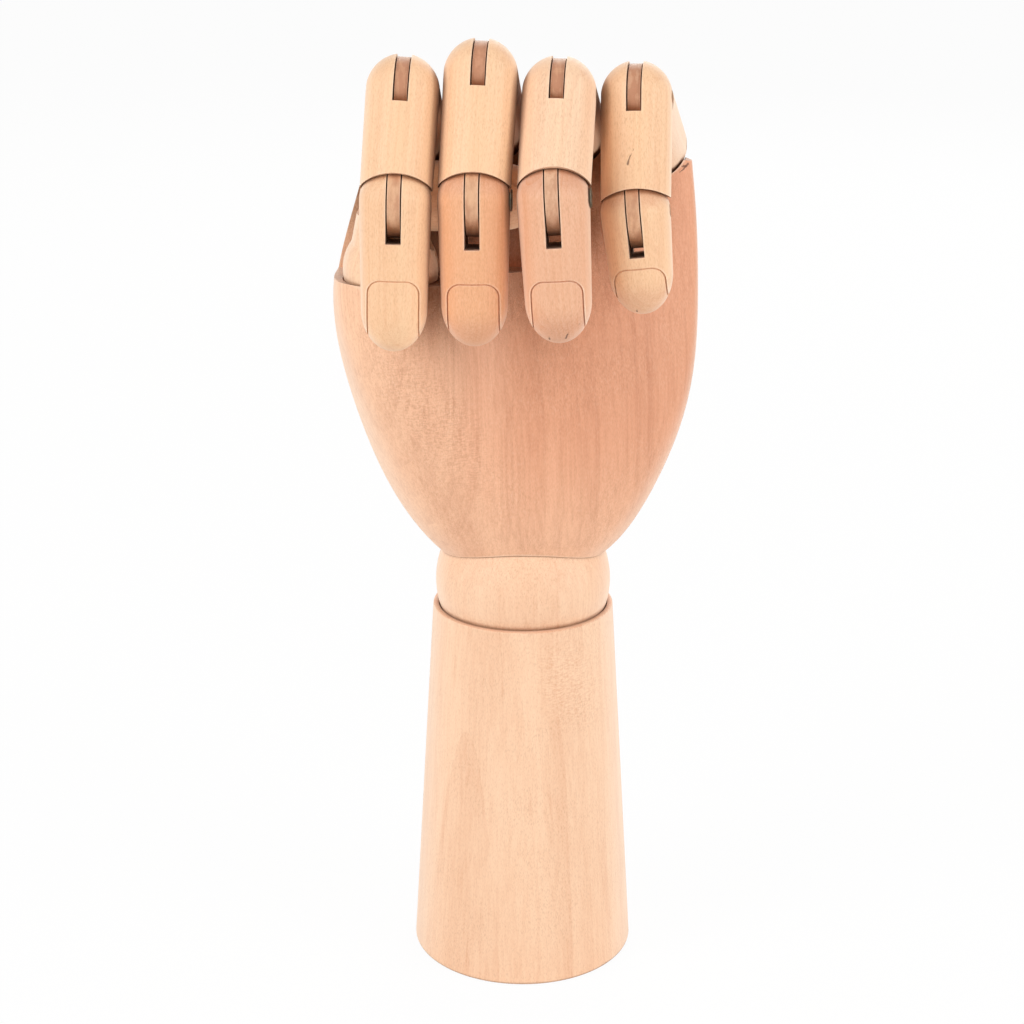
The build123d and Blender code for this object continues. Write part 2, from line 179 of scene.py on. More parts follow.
class WoodSettings(bpy.types.PropertyGroup):
    """Colours and grain of the wooden pieces."""

    forearm: colour("Forearm", 0xFCD2AF, "Pale wood of the turned forearm and the wrist ball")
    palm: colour("Palm", 0xFCCBA6, "Pale side of the palm block")
    palm_rosy: colour("Palm heart", 0xE7A47F, "Rosy side of the palm block")
    palm_late: colour("Palm late wood", 0xB56A44, "Dark lines in the palm block")
    pale: colour("Pale finger wood", 0xFBD3AE, "Palest finger wood")
    straw: colour("Straw finger wood", 0xF9CCA1, "Yellower finger wood")
    amber: colour("Amber finger wood", 0xEFB184, "Darkest, most orange finger wood")
    rosy: colour("Rosy finger wood", 0xECB591, "Pinker finger wood")
    late: colour("Late wood", 0xD98F60, "Colour of the dark side of each growth ring")
    end: colour("End grain", 0xD99C7C, "Rosy tone of wood cut across the grain")
    # Pale corners: wear and painted highlight
    corner_highlight: colour("Corner", 0xFFE4C8, "Pale tone of worn corners")
    # Saw cuts' brown, darkened with depth as painted shade; it also paints the shade in the closed
    # hand's hollow and colours the splits
    cut: colour("Saw cut", 0x52290F, "Brown of the saw cuts")
    # Dirt and painted shade where another piece hides the sky
    grime_and_shade: colour("Grime", 0x7E4A2C, "Brown of the grime where two pieces meet")
    # Tongues' polish and the painted shade of the slot walls on them
    rub_and_shade: colour("Rubbed tongue", 0xC08664, "Brown of the tongues that rub in their slots")
    ring_step: length("Ring step", 2.3 * MM, "Distance between growth rings")
    ring_depth: number("Ring strength", 0.11, "How far the late wood shows")
    fibre_depth: number("Fibre strength", 0.15, "How strong the fine lines along the grain are")
    fleck_depth: number("Fleck strength", 0.24, "How dark the short pores are")
    # Strength of the pale corners' wear and painted highlight
    corner_highlight_depth: number("Corner strength", 0.55, "How pale the worn corners are")
    # Strength of the saw cuts' brown and painted shade
    cut_shade_depth: number("Saw cut strength", 0.93, "How dark the saw cuts are")
    # Dirt and painted shade at the joints, between the fingers and round the thumb
    seam_shade_depth: number("Seam strength", 0.5, "How much grime lies where two pieces meet")
    seam_shade_reach: length("Seam reach", 1.5 * MM, "How far grime spreads from where two pieces meet")
    finger_shade_reach: length("Finger reach", 3.8 * MM, "How far grime spreads between the fingers")
    thumb_shade_reach: length("Thumb reach", 9.0 * MM, "How far grime spreads round the thumb")
    # Painted shade of the fingers in the closed hand's hollow
    fist_shade_depth: number("Fist strength", 0.92, "How much grime lies in the closed hand's hollow")
    fist_shade_reach: length("Fist reach", 34.0 * MM, "How far grime spreads in the closed hand's hollow")
    fist_shade_low: length("Fist low", 122.0 * MM, "Height on the palm at which that grime starts")
    fist_shade_high: length("Fist high", 168.0 * MM, "Height on the palm at which it is full")
    # Strength of the tongues' polish and painted shade
    rub_and_shade_depth: number("Rub strength", 0.8, "How brown the rubbed tongues are")
    # Painted sheen: a pale tint on faces seen at a glancing angle
    painted_sheen: number("Bloom", 0.38, "Pale bloom of unvarnished wood at a glancing angle")
    painted_sheen_tint: colour("Bloom tint", 0xFFF1E0, "Tint of that bloom")
    palm_fleck: number("Palm fleck", 1.0, "How many times stronger the flecks of the palm are")
    palm_fibre: number("Palm fibre", 1.25, "How many times stronger the fine lines of the palm are")
    gloss: number("Gloss", 0.6, "How strong the sheen of clean wood is")
    bump: length("Grain height", 0.05 * MM, "Height of the fine grain")
    relief: number("Grain relief", 0.6, "How strongly that height shows in the light")


class HardwareSettings(bpy.types.PropertyGroup):
    """Steel of the pins and of the wrist's spring."""

    pin: colour("Pin steel", 0x7D7262, "Dull steel of the joint pins")
    pin_rough: number("Pin roughness", 0.38, "Roughness of the joint pins")
    spring: colour("Spring steel", 0xB4AEA6, "Drawn wire of the wrist spring")
    spring_rough: number("Spring roughness", 0.28, "Roughness of the spring, its eye and its rod")
    wire: length("Spring wire", 1.4 * MM, "Diameter of the spring wire")
    pitch: number("Spring pitch", 1.02, "Distance between turns, in diameters of the wire")
    loop: length("Spring loop", 2.8 * MM, "Radius of the loop at each end of the spring")
    bend_room: length("Bend room", 4.5 * MM, "How far below the ball the spring starts to bend")
    turn_points: IntProperty(
        name="Points per turn", description="Curve points in one turn of the coil",
        default=12, min=8,
    )


class StageSettings(bpy.types.PropertyGroup):
    """Camera, lights and floor."""

    camera_place: point("Camera place", (-0.0028, -0.5077, 0.289), "Where the camera stands")
    camera_pitch: FloatProperty(
        name="Camera pitch", description="How far the camera looks down",
        default=math.radians(18.55), subtype="ANGLE",
    )
    focal_pixels: number("Focal length", 2127.0, "Focal length in pixels of the square image")
    clip_start: length("Clip start", 10 * MM, "Nearest distance that the camera shows")
    floor_size: length("Floor size", 16.0, "Width of the floor")
    floor: colour("Floor", 0xF7F6F4, "Pale floor")
    floor_rough: number("Floor roughness", 0.9, "Roughness of the floor")
    floor_gloss: number("Floor gloss", 0.1, "How strong the sheen of the floor is")
    floor_white: number("Floor white", 0.95, "How far the floor is lifted to white for the camera")
    sky: number("Sky strength", 0.45, "Even light from all round")
    sky_white: number("Sky white", 0.98, "Brightness of the sky as a backdrop")
    key: number("Key light", 11.1, "Power of the large light at the upper left, in watts")
    fill: number("Fill light", 9.1, "Power of the light at the right, in watts")
    back: number("Back light", 6.0, "Power of the light behind the hand, in watts")
    key_place: point("Key place", (-1.1, -0.68, 0.85), "Where the key light hangs")
    fill_place: point("Fill place", (1.12, -0.6, 0.7), "Where the fill light hangs")
    back_place: point("Back place", (0.3, 1.2, 0.9), "Where the back light hangs")
    lamp_size: length("Lamp size", 0.9, "Width of each lamp")
    lamp_target: point("Lamp target", (0.0, -0.01, 0.16), "Where the lamps point")


# Node helpers

def new_group(name, inputs, outputs):
    """Empty shader group with named sockets; returns its tree and its two end nodes."""
    tree = bpy.data.node_groups.new(name, "ShaderNodeTree")
    for label, kind, value in inputs:
        socket = tree.interface.new_socket(name=label, in_out="INPUT", socket_type=kind)
        if value is not None:
            socket.default_value = value
    for label, kind in outputs:
        tree.interface.new_socket(name=label, in_out="OUTPUT", socket_type=kind)
    return tree, tree.nodes.new("NodeGroupInput"), tree.nodes.new("NodeGroupOutput")


def node(tree, kind, settings=None, **sockets):
    """New node; a socket given as another node's output is linked, and any other value is set."""
    made = tree.nodes.new(kind)
    for key, value in (settings or {}).items():
        setattr(made, key, value)
    for key, value in sockets.items():
        put(tree, made.inputs[key.replace("_", " ")], value)
    return made


def put(tree, socket, value):
    """Link or set one socket."""
    if isinstance(value, bpy.types.NodeSocket):
        tree.links.new(value, socket)
    else:
        socket.default_value = value


def math_node(tree, operation, first, second=0.0, clamp=False):
    """Output of a Math node."""
    made = node(tree, "ShaderNodeMath", {"operation": operation, "use_clamp": clamp})
    put(tree, made.inputs[0], first)
    put(tree, made.inputs[1], second)
    return made.outputs[0]


def product(tree, value, *shares):
    """Output of a value times one or more shares."""
    for share in shares:
        value = math_node(tree, "MULTIPLY", value, share)
    return value


def vector_node(tree, operation, first, second=(0.0, 0.0, 0.0)):
    """Output of a Vector Math node."""
    made = node(tree, "ShaderNodeVectorMath", {"operation": operation})
    put(tree, made.inputs[0], first)
    put(tree, made.inputs[1], second)
    return made.outputs["Value" if operation in {"LENGTH", "DOT_PRODUCT"} else "Vector"]


def remap(tree, value, low, high, out_low=0.0, out_high=1.0):
    """Value taken from one range to another, held inside it."""
    made = node(
        tree, "ShaderNodeMapRange", {"interpolation_type": "SMOOTHSTEP"},
        Value=value, From_Min=low, From_Max=high, To_Min=out_low, To_Max=out_high,
    )
    return made.outputs[0]


def mix_colour(tree, factor, first, second, blend="MIX"):
    """Output of a colour mix."""
    made = node(tree, "ShaderNodeMix", {"data_type": "RGBA", "blend_type": blend})
    put(tree, made.inputs["Factor"], factor)
    put(tree, made.inputs[6], first)
    put(tree, made.inputs[7], second)
    return made.outputs[2]


def noise(tree, vector, scale, detail=3.0, rough=0.55):
    """Noise from 0 to 1 at a scale in features per metre."""
    made = node(
        tree, "ShaderNodeTexNoise", Vector=vector, Scale=scale, Detail=detail, Roughness=rough
    )
    return made.outputs[0]


# Shared effects

def timber_group():
    """Straight-grained pale wood whose grain runs along the vector's z."""
    tree, have, give = new_group(
        "Timber",
        [
            ("Vector", "NodeSocketVector", None),
            ("Grain Axis", "NodeSocketVector", (0.0, 0.0, 1.0)),
            ("Pith", "NodeSocketVector", (0.05, 0.03, 0.0)),
            ("Early Wood", "NodeSocketColor", (0.9, 0.6, 0.4, 1)),
            ("Late Wood", "NodeSocketColor", (0.7, 0.35, 0.15, 1)),
            ("End Wood", "NodeSocketColor", (0.7, 0.4, 0.25, 1)),
            ("Ring Step", "NodeSocketFloat", 0.0023),
            ("Ring Strength", "NodeSocketFloat", 0.2),
            ("Fibre Strength", "NodeSocketFloat", 0.2),
            ("Fleck Strength", "NodeSocketFloat", 0.2),
            ("End Strength", "NodeSocketFloat", 0.5),
            ("End Start", "NodeSocketFloat", 0.5),
            ("Curl", "NodeSocketFloat", 0.0),
            ("Curl Place", "NodeSocketVector", (0.0, 0.0, 0.0)),
            ("Curl Reach", "NodeSocketVector", (0.02, 0.04, 0.02)),
            ("Curl Slope", "NodeSocketFloat", 0.0),
        ],
        [
            ("Color", "NodeSocketColor"),
            ("Roughness", "NodeSocketFloat"),
            ("Height", "NodeSocketFloat"),
        ],
    )
    place = vector_node(tree, "ADD", have.outputs["Vector"], have.outputs["Pith"])
    # End grain: where the surface faces along the grain
    facing = node(tree, "ShaderNodeTexCoord").outputs["Normal"]
    facing = vector_node(tree, "DOT_PRODUCT", facing, have.outputs["Grain Axis"])
    full = math_node(tree, "ADD", have.outputs["End Start"], 0.45)
    end = remap(tree, math_node(tree, "ABSOLUTE", facing), have.outputs["End Start"], full)
    # Growth rings, with a slow wander along the trunk
    slow = vector_node(tree, "MULTIPLY", place, (1.0, 1.0, 0.22))
    wander = node(tree, "ShaderNodeTexNoise", Vector=slow, Scale=42.0, Detail=2.0)
    sway = vector_node(tree, "SUBTRACT", wander.outputs["Color"], (0.5, 0.5, 0.5))
    sway = vector_node(tree, "MULTIPLY", sway, (0.0075, 0.0075, 0.0))
    bent = vector_node(tree, "ADD", place, sway)
    flat = vector_node(tree, "MULTIPLY", bent, (1.0, 1.0, 0.0))
    turns = math_node(tree, "DIVIDE", vector_node(tree, "LENGTH", flat), have.outputs["Ring Step"])
    late = math_node(tree, "POWER", math_node(tree, "FRACT", turns), 2.6)
    unlike = noise(tree, vector_node(tree, "MULTIPLY", bent, (1.0, 1.0, 0.05)), 150.0, 1.0)
    uneven = remap(tree, unlike, 0.3, 0.75, 0.25, 1.25)
    strong = remap(tree, end, 0.0, 1.0, 1.0, 2.2)
    late = product(tree, late, uneven, strong, have.outputs["Ring Strength"])
    # Fine fibres, long in the grain, and a few strong lines among them
    fine = vector_node(tree, "MULTIPLY", place, (1.0, 1.0, 0.022))
    fibre = remap(tree, noise(tree, fine, 1500.0, 4.0, 0.62), 0.34, 0.68)
    line = remap(tree, noise(tree, fine, 520.0, 2.0), 0.6, 0.72)
    streak = math_node(tree, "ADD", fibre, product(tree, line, 0.7))
    streak = product(tree, streak, have.outputs["Fibre Strength"])
    # Short dark pores and pale rays, in drifts
    short = vector_node(tree, "MULTIPLY", place, (1.0, 1.0, 0.3))
    speck = noise(tree, short, 4300.0, 2.0, 0.5)
    patch = remap(tree, noise(tree, place, 60.0, 2.0), 0.35, 0.7, 0.6, 1.0)
    pore = product(tree, remap(tree, speck, 0.48, 0.7), patch)
    ray = product(tree, remap(tree, speck, 0.5, 0.3), patch)
    # Curly figure: short bars across the grain in one soft patch
    away = vector_node(tree, "SUBTRACT", have.outputs["Vector"], have.outputs["Curl Place"])
    high = node(tree, "ShaderNodeSeparateXYZ", Vector=away).outputs["Z"]
    shift = product(tree, high, have.outputs["Curl Slope"])
    away = vector_node(tree, "ADD", away, node(tree, "ShaderNodeCombineXYZ", X=shift).outputs[0])
    away = vector_node(tree, "DIVIDE", away, have.outputs["Curl Reach"])
    inside = remap(tree, vector_node(tree, "LENGTH", away), 0.2, 1.0, 1.0, 0.0)
    across = vector_node(tree, "MULTIPLY", place, (0.34, 0.34, 1.0))
    bars = remap(tree, noise(tree, across, 2600.0, 2.0, 0.55), 0.38, 0.64, -0.5, 1.0)
    bars = product(tree, bars, inside, have.outputs["Curl"])
    # Broad bands of tone along the grain
    broad = noise(tree, vector_node(tree, "MULTIPLY", place, (1.0, 1.0, 0.07)), 95.0, 2.0)
    drift = remap(tree, broad, 0.36, 0.66, -0.05, 0.11)
    depth = math_node(tree, "ADD", late, streak)
    depth = math_node(tree, "ADD", depth, drift)
    depth = math_node(tree, "ADD", depth, bars, clamp=True)
    tone = mix_colour(tree, depth, have.outputs["Early Wood"], have.outputs["Late Wood"])
    closed = product(tree, end, have.outputs["End Strength"])
    cross = mix_colour(tree, late, have.outputs["End Wood"], have.outputs["Late Wood"])
    tone = mix_colour(tree, closed, tone, cross)
    dark = product(tree, pore, have.outputs["Fleck Strength"])
    tone = mix_colour(tree, dark, tone, PORE_BROWN)
    shine = product(tree, ray, product(tree, have.outputs["Fleck Strength"], 0.5))
    tone = mix_colour(tree, shine, tone, RAY_PALE)
    tree.links.new(tone, give.inputs["Color"])
    rough = math_node(tree, "MULTIPLY_ADD", fibre, 0.12)
    rough.node.inputs[2].default_value = 0.5
    tree.links.new(rough, give.inputs["Roughness"])
    hill = math_node(tree, "SUBTRACT", 1.0, product(tree, fibre, 0.5))
    hill = math_node(tree, "SUBTRACT", hill, product(tree, pore, 0.8))
    tree.links.new(hill, give.inputs["Height"])
    return tree


def segment_gap(tree, vector, start, way):
    """Distance from a line between two points, and the share of the way along it."""
    away = vector_node(tree, "SUBTRACT", vector, start)
    along = vector_node(tree, "DOT_PRODUCT", away, way)
    share = math_node(tree, "DIVIDE", along, vector_node(tree, "DOT_PRODUCT", way, way), clamp=True)
    foot = node(tree, "ShaderNodeVectorMath", {"operation": "SCALE"}, Scale=share)
    put(tree, foot.inputs[0], way)
    return vector_node(tree, "LENGTH", vector_node(tree, "SUBTRACT", away, foot.outputs[0])), share


def edge_highlight_and_seam_shade_group():
    """Pale corners, from wear and painted highlight, and brown dirt with painted shade where
    another piece hides the sky.
    """
    tree, have, give = new_group(
        "Worn Edges",
        [
            ("Color", "NodeSocketColor", (0.9, 0.6, 0.4, 1)),
            ("Corner", "NodeSocketColor", (1.0, 0.85, 0.7, 1)),
            # Colour of the dirt and painted shade in the seams
            ("Grime", "NodeSocketColor", (0.3, 0.12, 0.05, 1)),
            ("Corner Strength", "NodeSocketFloat", 0.5),
            ("Seam Strength", "NodeSocketFloat", 0.5),
            ("Corner Reach", "NodeSocketFloat", 0.0006),
            ("Seam Reach", "NodeSocketFloat", 0.0014),
            ("Seam Start", "NodeSocketFloat", SEAM_SHADE_LIMITS[0]),
            ("Seam Full", "NodeSocketFloat", SEAM_SHADE_LIMITS[1]),
        ],
        [("Color", "NodeSocketColor"), ("Mask", "NodeSocketFloat")],
    )
    where = node(tree, "ShaderNodeTexCoord").outputs["Object"]
    spots = remap(tree, noise(tree, where, 420.0), 0.3, 0.7, 0.55, 1.0)
    # Painted highlight and wear: paler on convex corners
    corner_highlight = node(
        tree, "ShaderNodeAmbientOcclusion", {"samples": 6, "inside": True, "only_local": True},
        Distance=have.outputs["Corner Reach"],
    )
    worn_and_highlit = remap(tree, corner_highlight.outputs["AO"], 0.35, 0.75, 1.0, 0.0)
    worn_and_highlit = product(tree, worn_and_highlit, spots, have.outputs["Corner Strength"])
    tone = mix_colour(tree, worn_and_highlit, have.outputs["Color"], have.outputs["Corner"])
    # Painted shade: darker where another piece hides the sky, over the dirt of the joints
    both = node(
        tree, "ShaderNodeAmbientOcclusion", {"samples": 8}, Distance=have.outputs["Seam Reach"]
    )
    alone = node(
        tree, "ShaderNodeAmbientOcclusion", {"samples": 8, "only_local": True},
        Distance=have.outputs["Seam Reach"],
    )
    closed = math_node(tree, "SUBTRACT", alone.outputs["AO"], both.outputs["AO"])
    seam_shade = remap(tree, closed, have.outputs["Seam Start"], have.outputs["Seam Full"])
    even = remap(tree, noise(tree, where, 160.0), 0.3, 0.7, 0.85, 1.0)
    seam_shade = product(tree, seam_shade, even, have.outputs["Seam Strength"])
    tree.links.new(mix_colour(tree, seam_shade, tone, have.outputs["Grime"]), give.inputs["Color"])
    tree.links.new(seam_shade, give.inputs["Mask"])
    return tree


def saw_cut_shade_group():
    """Brown walls of the saw cuts inside a round segment, with painted shade that darkens them with
    depth.
    """
    tree, have, give = new_group(
        "Saw Cut",
        [
            ("Vector", "NodeSocketVector", None),
            ("Color", "NodeSocketColor", (0.9, 0.6, 0.4, 1)),
            ("Cut", "NodeSocketColor", (0.3, 0.12, 0.05, 1)),
            ("Start", "NodeSocketVector", (0.0, 0.0, 0.0)),
            ("Way", "NodeSocketVector", (0.0, 0.0, 0.01)),
            ("Radius", "NodeSocketFloat", 0.008),
            ("Strength", "NodeSocketFloat", 0.8),
        ],
        [("Color", "NodeSocketColor"), ("Mask", "NodeSocketFloat")],
    )
    gap, _ = segment_gap(tree, have.outputs["Vector"], have.outputs["Start"], have.outputs["Way"])
    # Painted shade: browner and darker with depth in the slot
    deep_shade = math_node(tree, "SUBTRACT", have.outputs["Radius"], gap)
    deep_shade = remap(tree, deep_shade, *CUT_SHADE_LIMITS)
    burn = remap(tree, noise(tree, have.outputs["Vector"], 500.0), 0.3, 0.7, 0.8, 1.0)
    deep_shade = product(tree, deep_shade, burn, have.outputs["Strength"])
    tone = mix_colour(tree, deep_shade, have.outputs["Color"], have.outputs["Cut"])
    tree.links.new(tone, give.inputs["Color"])
    tree.links.new(deep_shade, give.inputs["Mask"])
    return tree


def rubbed_and_shaded_group():
    """Brown polish and painted shade of the slot walls on the thin tongue that turns in the next
    segment's slot.
    """
    tree, have, give = new_group(
        "Rubbed Tongue",
        [
            ("Vector", "NodeSocketVector", None),
            ("Color", "NodeSocketColor", (0.9, 0.6, 0.4, 1)),
            ("Rubbed", "NodeSocketColor", (0.5, 0.25, 0.12, 1)),
            ("Pivot", "NodeSocketVector", (0.0, 0.0, 0.0)),
            ("Across", "NodeSocketVector", (1.0, 0.0, 0.0)),
            ("Half Width", "NodeSocketFloat", 0.0015),
            ("Radius", "NodeSocketFloat", 0.008),
            ("Strength", "NodeSocketFloat", 0.5),
        ],
        [("Color", "NodeSocketColor")],
    )
    # Painted shade of the slot walls, with polish, on the part of the tongue inside the slot
    away = vector_node(tree, "SUBTRACT", have.outputs["Vector"], have.outputs["Pivot"])
    side = vector_node(tree, "DOT_PRODUCT", away, have.outputs["Across"])
    side = math_node(tree, "ABSOLUTE", side)
    thin = math_node(tree, "LESS_THAN", side, have.outputs["Half Width"])
    near = math_node(tree, "LESS_THAN", vector_node(tree, "LENGTH", away), have.outputs["Radius"])
    streaks = vector_node(tree, "MULTIPLY", have.outputs["Vector"], (1.0, 0.4, 0.4))
    uneven = remap(tree, noise(tree, streaks, 700.0), 0.3, 0.72, 0.45, 1.0)
    mask = product(tree, thin, near, uneven, have.outputs["Strength"])
    tone = mix_colour(tree, mask, have.outputs["Color"], have.outputs["Rubbed"])
    tree.links.new(tone, give.inputs["Color"])
    return tree


def hairline_group():
    """Thin crack between two points of a piece."""
    tree, have, give = new_group(
        "Hairline",
        [
            ("Vector", "NodeSocketVector", None),
            ("Start", "NodeSocketVector", (0.0, 0.0, 0.0)),
            ("Way", "NodeSocketVector", (0.0, 0.0, 0.01)),
            ("Width", "NodeSocketFloat", 0.0004),
        ],
        [("Mask", "NodeSocketFloat")],
    )
    shake = node(tree, "ShaderNodeTexNoise", Vector=have.outputs["Vector"], Scale=700.0, Detail=2.0)
    shake = vector_node(tree, "SUBTRACT", shake.outputs["Color"], (0.5, 0.5, 0.5))
    shake = vector_node(tree, "MULTIPLY", shake, (0.0005, 0.0005, 0.0005))
    shaken = vector_node(tree, "ADD", have.outputs["Vector"], shake)
    gap, share = segment_gap(tree, shaken, have.outputs["Start"], have.outputs["Way"])
    slim = product(tree, have.outputs["Width"], remap(tree, share, 0.0, 1.0, 1.0, 0.25))
    near = math_node(tree, "DIVIDE", gap, slim)
    tree.links.new(remap(tree, near, 0.3, 1.0, 1.0, 0.0), give.inputs["Mask"])
    return tree


def place_group(tree, name, maker, **sockets):
    """Group node in a material, with its own values; the group is built when first asked for."""
    made = tree.nodes.new("ShaderNodeGroup")
    made.node_tree = bpy.data.node_groups.get(name) or maker()
    for key, value in sockets.items():
        put(tree, made.inputs[key.replace("_", " ")], value)
    return made


# Materials

def opaque(rgb):
    """Colour with full alpha."""
    return (*rgb, 1.0)


def new_material(name):
    """Material with its tree and its Principled shader."""
    made = bpy.data.materials.new(name)
    made.use_nodes = True
    return made, made.node_tree, made.node_tree.nodes["Principled BSDF"]


def dress(name, material):
    """Give a solid of the frame its material."""
    solid = frame["nodes"][name]
    solid.data.materials.clear()
    solid.data.materials.append(material)


def dress_wood(
    name, early, axes, pith, end, rings, reach=None, late=None, figure=(1.0, 1.0),
    blush=None, core=None, tongue=None, fist_shade=False,
):
    """Give the solid of that name a wood of its own, with its grain along the z of its axes.

    early and late: colours of the growth rings; end: strength and start of the end grain;
    rings: step and strength of the rings; reach: how far the dirt and painted shade of the seams
    spread;
    figure: strength of the flecks and of the fibres; blush: varies the early colour;
    core: start, way and radius of the bar that is slotted, whose saw cuts get painted shade;
    tongue: pivot, axis, radius and share of rub brown and painted shade;
    fist: whether it gets painted shade of the fingers in the closed hand's hollow.
    """
    wood = bpy.context.scene.hand_wood
    made, tree, shader = new_material(f"{name}_wood")
    where = node(tree, "ShaderNodeTexCoord").outputs["Object"]
    turned = node(tree, "ShaderNodeMapping", {"vector_type": "TEXTURE"}, Vector=where)
    turned.inputs["Location"].default_value = axes.to_translation()
    turned.inputs["Rotation"].default_value = axes.to_euler()
    timber = place_group(
        tree, "Timber", timber_group,
        Vector=turned.outputs[0], Grain_Axis=axes.col[2].to_3d(), Pith=pith,
        Early_Wood=blush(tree, where, opaque(early)) if blush else opaque(early),
        Late_Wood=opaque(late or wood.late), End_Wood=opaque(wood.end),
        Ring_Step=wood.ring_step * rings[0], Ring_Strength=wood.ring_depth * rings[1],
        Fleck_Strength=wood.fleck_depth * figure[0], Fibre_Strength=wood.fibre_depth * figure[1],
        End_Strength=end[0], End_Start=end[1],
    )
    if name in CURLS:
        spot, spread, slope, share = CURLS[name]
        put(tree, timber.inputs["Curl"], share)
        put(tree, timber.inputs["Curl Slope"], slope)
        put(tree, timber.inputs["Curl Place"], axes.inverted() @ Vector(spot))
        put(tree, timber.inputs["Curl Reach"], spread)
    tone, hill = timber.outputs["Color"], timber.outputs["Height"]
    # Tongue: polish and painted shade of the slot walls
    if tongue:
        pivot, across, radius, share = tongue
        tone = place_group(
            tree, "Rubbed Tongue", rubbed_and_shaded_group, Vector=where, Color=tone,
            Rubbed=opaque(wood.rub_and_shade), Pivot=pivot, Across=across, Radius=radius,
            Strength=wood.rub_and_shade_depth * share,
        ).outputs["Color"]
    shade_mask = 0.0
    # Slot walls: brown and painted shade that darkens with depth
    if core:
        start, way, radius = core
        slot = place_group(
            tree, "Saw Cut", saw_cut_shade_group, Vector=where, Color=tone, Cut=opaque(wood.cut),
            Start=start, Way=way, Radius=radius, Strength=wood.cut_shade_depth,
        )
        tone, shade_mask = slot.outputs["Color"], slot.outputs["Mask"]
    # Painted sheen: paler where the view is glancing, less on undersides
    glancing = node(tree, "ShaderNodeLayerWeight", Blend=0.5).outputs["Facing"]
    pale = remap(tree, glancing, *PAINTED_SHEEN_GLANCE, 0.0, wood.painted_sheen)
    facing = node(tree, "ShaderNodeNewGeometry").outputs["Normal"]
    rise = node(tree, "ShaderNodeSeparateXYZ", Vector=facing).outputs["Z"]
    pale = product(tree, pale, remap(tree, rise, *PAINTED_SHEEN_UNDER, 1.0))
    tone = mix_colour(tree, pale, tone, opaque(wood.painted_sheen_tint))
    # Dirt and painted shade where another piece hides the sky
    shade_tone, depth, shade_limits = wood.grime_and_shade, wood.seam_shade_depth, SEAM_SHADE_LIMITS
    # Painted shade of the fingers in the closed hand's hollow, in the saw cuts' brown, stronger up
    # the palm
    if fist_shade:
        shade_tone, shade_limits = wood.cut, FIST_SHADE_LIMITS
        height = node(tree, "ShaderNodeSeparateXYZ", Vector=where).outputs["Z"]
        depth = remap(tree, height, wood.fist_shade_low, wood.fist_shade_high, 0.0, wood.fist_shade_depth)
    # Pale corners with wear and painted highlight, and dirt with painted shade where another piece
    # hides the sky
    worn_and_highlit = place_group(
        tree, "Worn Edges", edge_highlight_and_seam_shade_group, Color=tone, Corner=opaque(wood.corner_highlight), Grime=opaque(shade_tone),
        Corner_Strength=wood.corner_highlight_depth, Seam_Strength=depth, Seam_Reach=reach or wood.seam_shade_reach,
        Seam_Start=shade_limits[0], Seam_Full=shade_limits[1],
    )
    tone, shade_mask = worn_and_highlit.outputs["Color"], math_node(tree, "MAXIMUM", worn_and_highlit.outputs["Mask"], shade_mask)
    for start, stop, width in SPLITS.get(name, ()):
        split = place_group(
            tree, "Hairline", hairline_group, Vector=where, Start=Vector(start) * MM,
            Way=(Vector(stop) - Vector(start)) * MM, Width=width * MM,
        ).outputs["Mask"]
        dark = product(tree, split, SPLIT_DEPTH)
        tone = mix_colour(tree, dark, tone, opaque(wood.cut))
        hill = math_node(tree, "SUBTRACT", hill, product(tree, split, SPLIT_FALL))
    relief = node(tree, "ShaderNodeBump", Height=hill, Distance=wood.bump, Strength=wood.relief)
    put(tree, shader.inputs["Base Color"], tone)
    put(tree, shader.inputs["Roughness"], timber.outputs["Roughness"])
    put(tree, shader.inputs["Normal"], relief.outputs[0])
    # Less sheen where the dirt and painted shade lie
    sheen = remap(tree, shade_mask, 0.0, SHEEN_END, wood.gloss, 0.0)
    put(tree, shader.inputs["Specular IOR Level"], sheen)
    dress(name, made)


def steel_material(name, tint, roughness):
    """Dull drawn steel with fine scratches."""
    made, tree, shader = new_material(name)
    where = node(tree, "ShaderNodeTexCoord").outputs["Object"]
    cloud = noise(tree, where, 900.0, 4.0)
    dark = opaque([c * TARNISH for c in tint])
    tone = mix_colour(tree, remap(tree, cloud, 0.35, 0.7), opaque(tint), dark)
    tree.links.new(tone, shader.inputs["Base Color"])
    rough = remap(tree, cloud, 0.3, 0.7, roughness, roughness + TARNISH_ROUGH)
    tree.links.new(rough, shader.inputs["Roughness"])
    scratch = noise(tree, vector_node(tree, "MULTIPLY", where, (1.0, 1.0, 0.1)), 4000.0, 2.0)
    relief = node(tree, "ShaderNodeBump", Height=scratch, Distance=SCRATCH, Strength=0.5)
    tree.links.new(relief.outputs[0], shader.inputs["Normal"])
    shader.inputs["Metallic"].default_value = 1.0
    return made


# Places of the pieces

def farthest(name, start):
    """Corner of a solid's mesh that is farthest from a point."""
    points = (v.co for v in frame["nodes"][name].data.vertices)
    return max(points, key=lambda p: (p - start).length).copy()


def half_thickness(name, pivot, across):
    """Half the width of a segment across its pivot."""
    return max(abs((v.co - pivot).dot(across)) for v in frame["nodes"][name].data.vertices)


def core_way(start, stop, radius):
    """Way along a segment's middle line from its pivot to where its round end begins."""
    way = stop - start
    return way.normalized() * (way.length - CORE_INSET * radius)


def grain_axes(start, end, across):
    """Axes with z along the grain from start to end and x near a crosswise direction."""
    z = (end - start).normalized()
    y = z.cross(across).normalized()
    x = y.cross(z)
    turn = Matrix((x, y, z)).transposed().to_4x4()
    return Matrix.Translation(start) @ turn


def box_middle(name):
    """Middle of a solid's box."""
    low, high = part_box(name)
    return (Vector(low) + Vector(high)) / 2


# Operators

